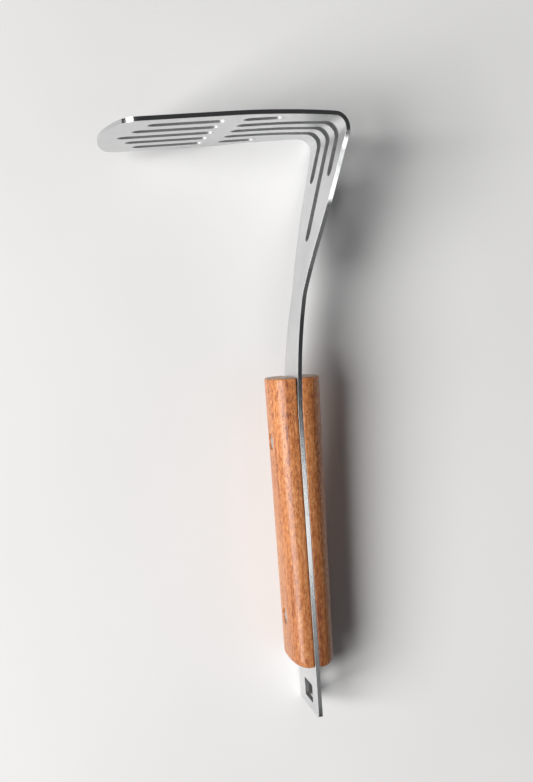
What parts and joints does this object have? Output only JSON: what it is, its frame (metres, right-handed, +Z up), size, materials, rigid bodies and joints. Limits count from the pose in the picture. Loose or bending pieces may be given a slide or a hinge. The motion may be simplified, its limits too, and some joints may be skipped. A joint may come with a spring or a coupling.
{
  "type": "pastry blender",
  "caption": "Slotted bent steel pastry blender blade on a full tang, with riveted wooden handle scales and a hanging hole.",
  "frame": {"origin": "on the table, under the middle of the tool's footprint as it lies on its side", "axes": "+Z up from the table; the handle runs along -Y from the blade, and the blade reaches towards -X; the tool rests on the blade's rim and the end of the tang, which leans it 13.0 degrees about Y and 4.4 degrees about X"},
  "size_m": [0.1, 0.2435, 0.0806],
  "materials": {
    "steel": "satin stainless steel, tumbled, with brighter cut edges",
    "wood": "oiled reddish hardwood with fine open pores, satin",
    "rivet": "plain steel, lightly worn"
  },
  "bodies": {
    "root": {"plate": "steel", "inner_scale": "wood", "outer_scale": "wood", "upper_rivet_post": "rivet", "upper_rivet_sleeve": "rivet", "lower_rivet_post": "rivet", "lower_rivet_sleeve": "rivet"}
  },
  "joints": []
}
